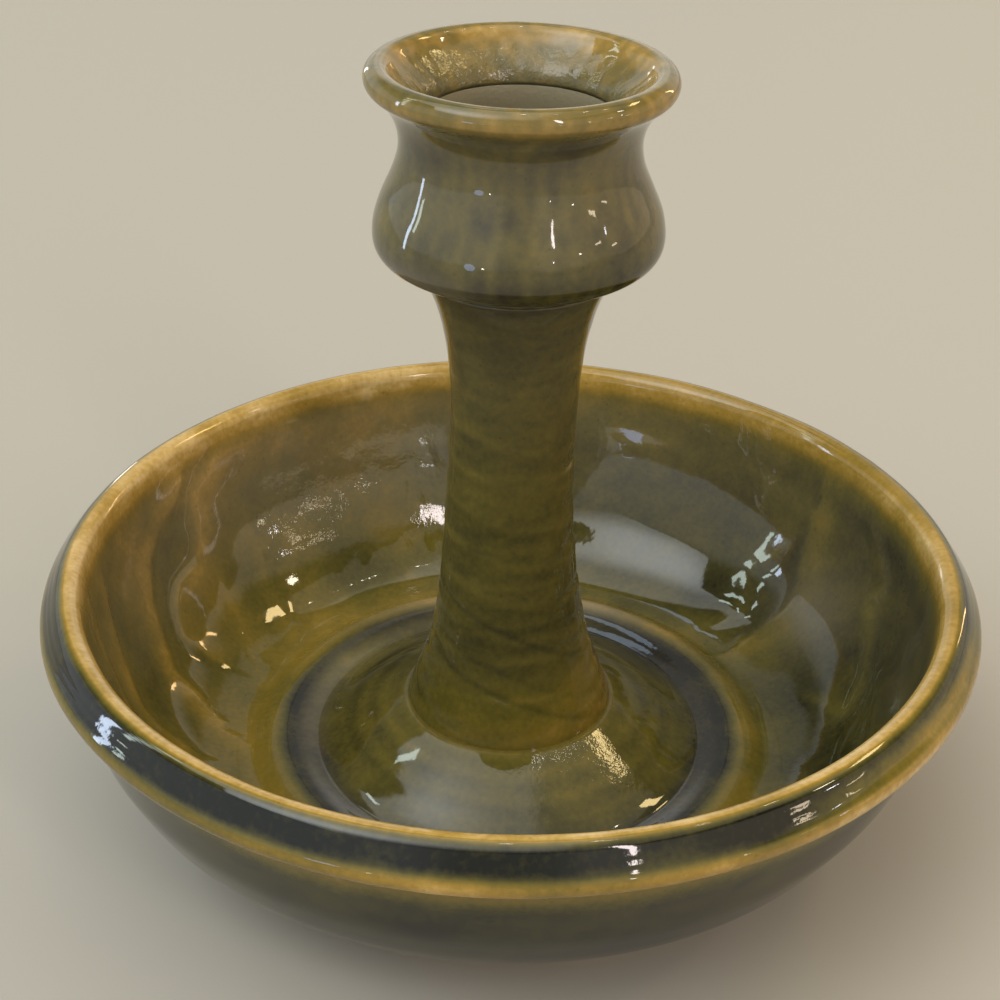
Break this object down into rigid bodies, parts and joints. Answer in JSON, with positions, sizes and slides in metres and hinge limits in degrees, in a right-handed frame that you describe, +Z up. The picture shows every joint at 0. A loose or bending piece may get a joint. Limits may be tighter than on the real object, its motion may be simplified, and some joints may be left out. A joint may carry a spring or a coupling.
{
  "type": "candlestick",
  "caption": "Hand-thrown ceramic chamber candlestick: deep saucer dish with a rolled rim, waisted stem and a socket cup, luted together under an olive glaze.",
  "frame": {"origin": "middle of the foot, on the surface that the candlestick stands on", "axes": "+Z up along the stem; the piece is round about Z; -Y faces the viewer in the reference view"},
  "size_m": [0.14, 0.14, 0.1175],
  "materials": {
    "bare_stoneware": "matt fired stoneware, turned with a tool",
    "joint_slip": "matt fired slip",
    "olive_glaze": "glossy translucent olive glaze that breaks to amber where it is thin"
  },
  "bodies": {
    "root": {"dish": "bare_stoneware", "stem": "bare_stoneware", "candle_cup": "bare_stoneware", "stem_foot_coil": "bare_stoneware", "stem_joint_slip": "joint_slip", "cup_joint_slip": "joint_slip", "dish_glaze": "olive_glaze", "stem_glaze": "olive_glaze", "cup_glaze": "olive_glaze"}
  },
  "joints": []
}
